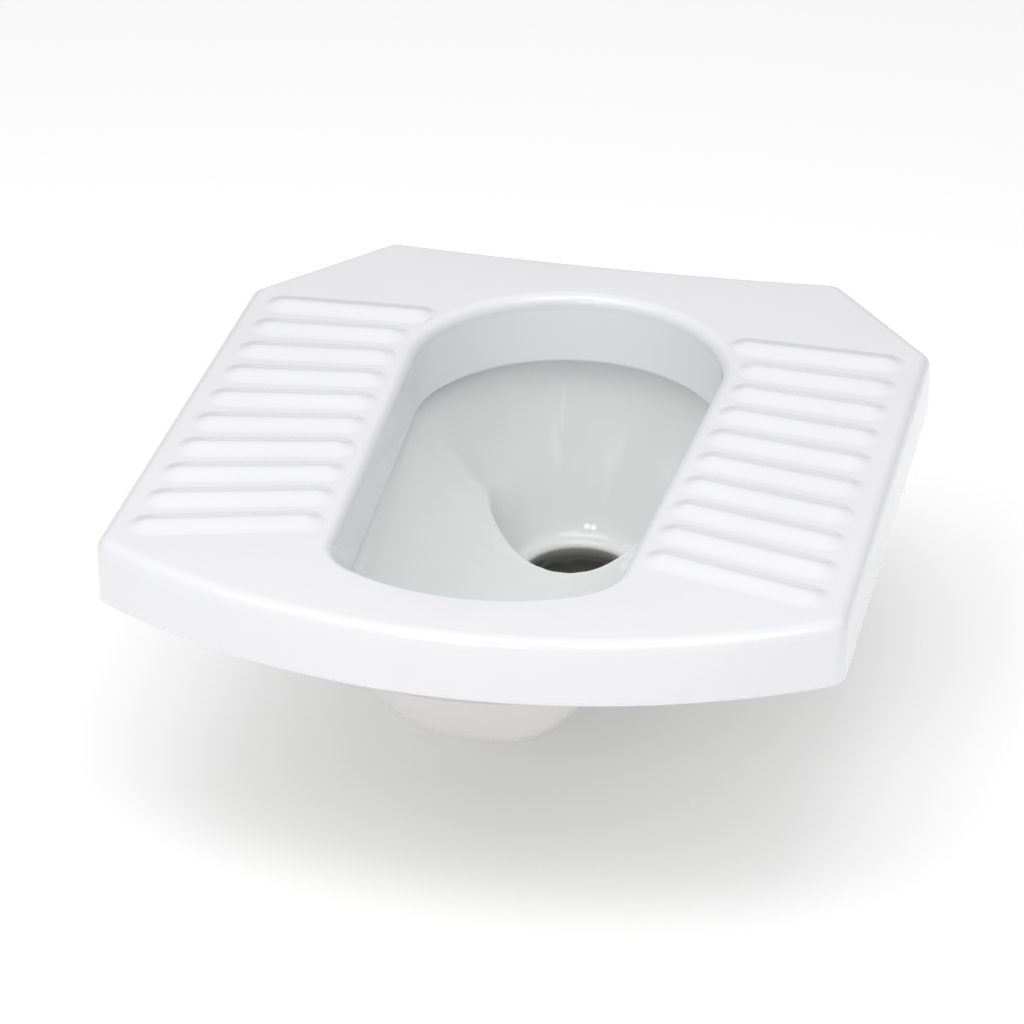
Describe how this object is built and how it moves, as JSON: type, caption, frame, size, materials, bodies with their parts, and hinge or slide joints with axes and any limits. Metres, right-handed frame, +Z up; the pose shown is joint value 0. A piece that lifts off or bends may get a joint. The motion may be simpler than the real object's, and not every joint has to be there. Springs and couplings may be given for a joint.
{
  "type": "squat toilet pan",
  "caption": "Squat toilet pan of white glazed vitreous china, with ribbed foot treads, a box flush rim, a bowl with a shelf and a bottom outlet spigot.",
  "frame": {"origin": "centre of the outlet spigot's lower end", "axes": "+X to the right for someone who faces the back edge, +Y to the back edge, the one with the cut corners, +Z up out of the basin"},
  "size_m": [0.482, 0.5441, 0.236],
  "materials": {
    "deck_glaze": "glossy white glaze",
    "tread_glaze": "glossy white glaze",
    "rim_glaze": "glossy white glaze",
    "bowl_glaze": "glossy white glaze",
    "under_glaze": "thin glaze over a fired body"
  },
  "bodies": {
    "root": {"deck": "deck_glaze", "left_tread": "tread_glaze", "right_tread": "tread_glaze", "flush_rim": "rim_glaze", "bowl": "bowl_glaze", "outlet_spigot": "under_glaze", "flush_inlet": "under_glaze", "left_webs": "under_glaze", "right_webs": "under_glaze"}
  },
  "joints": []
}
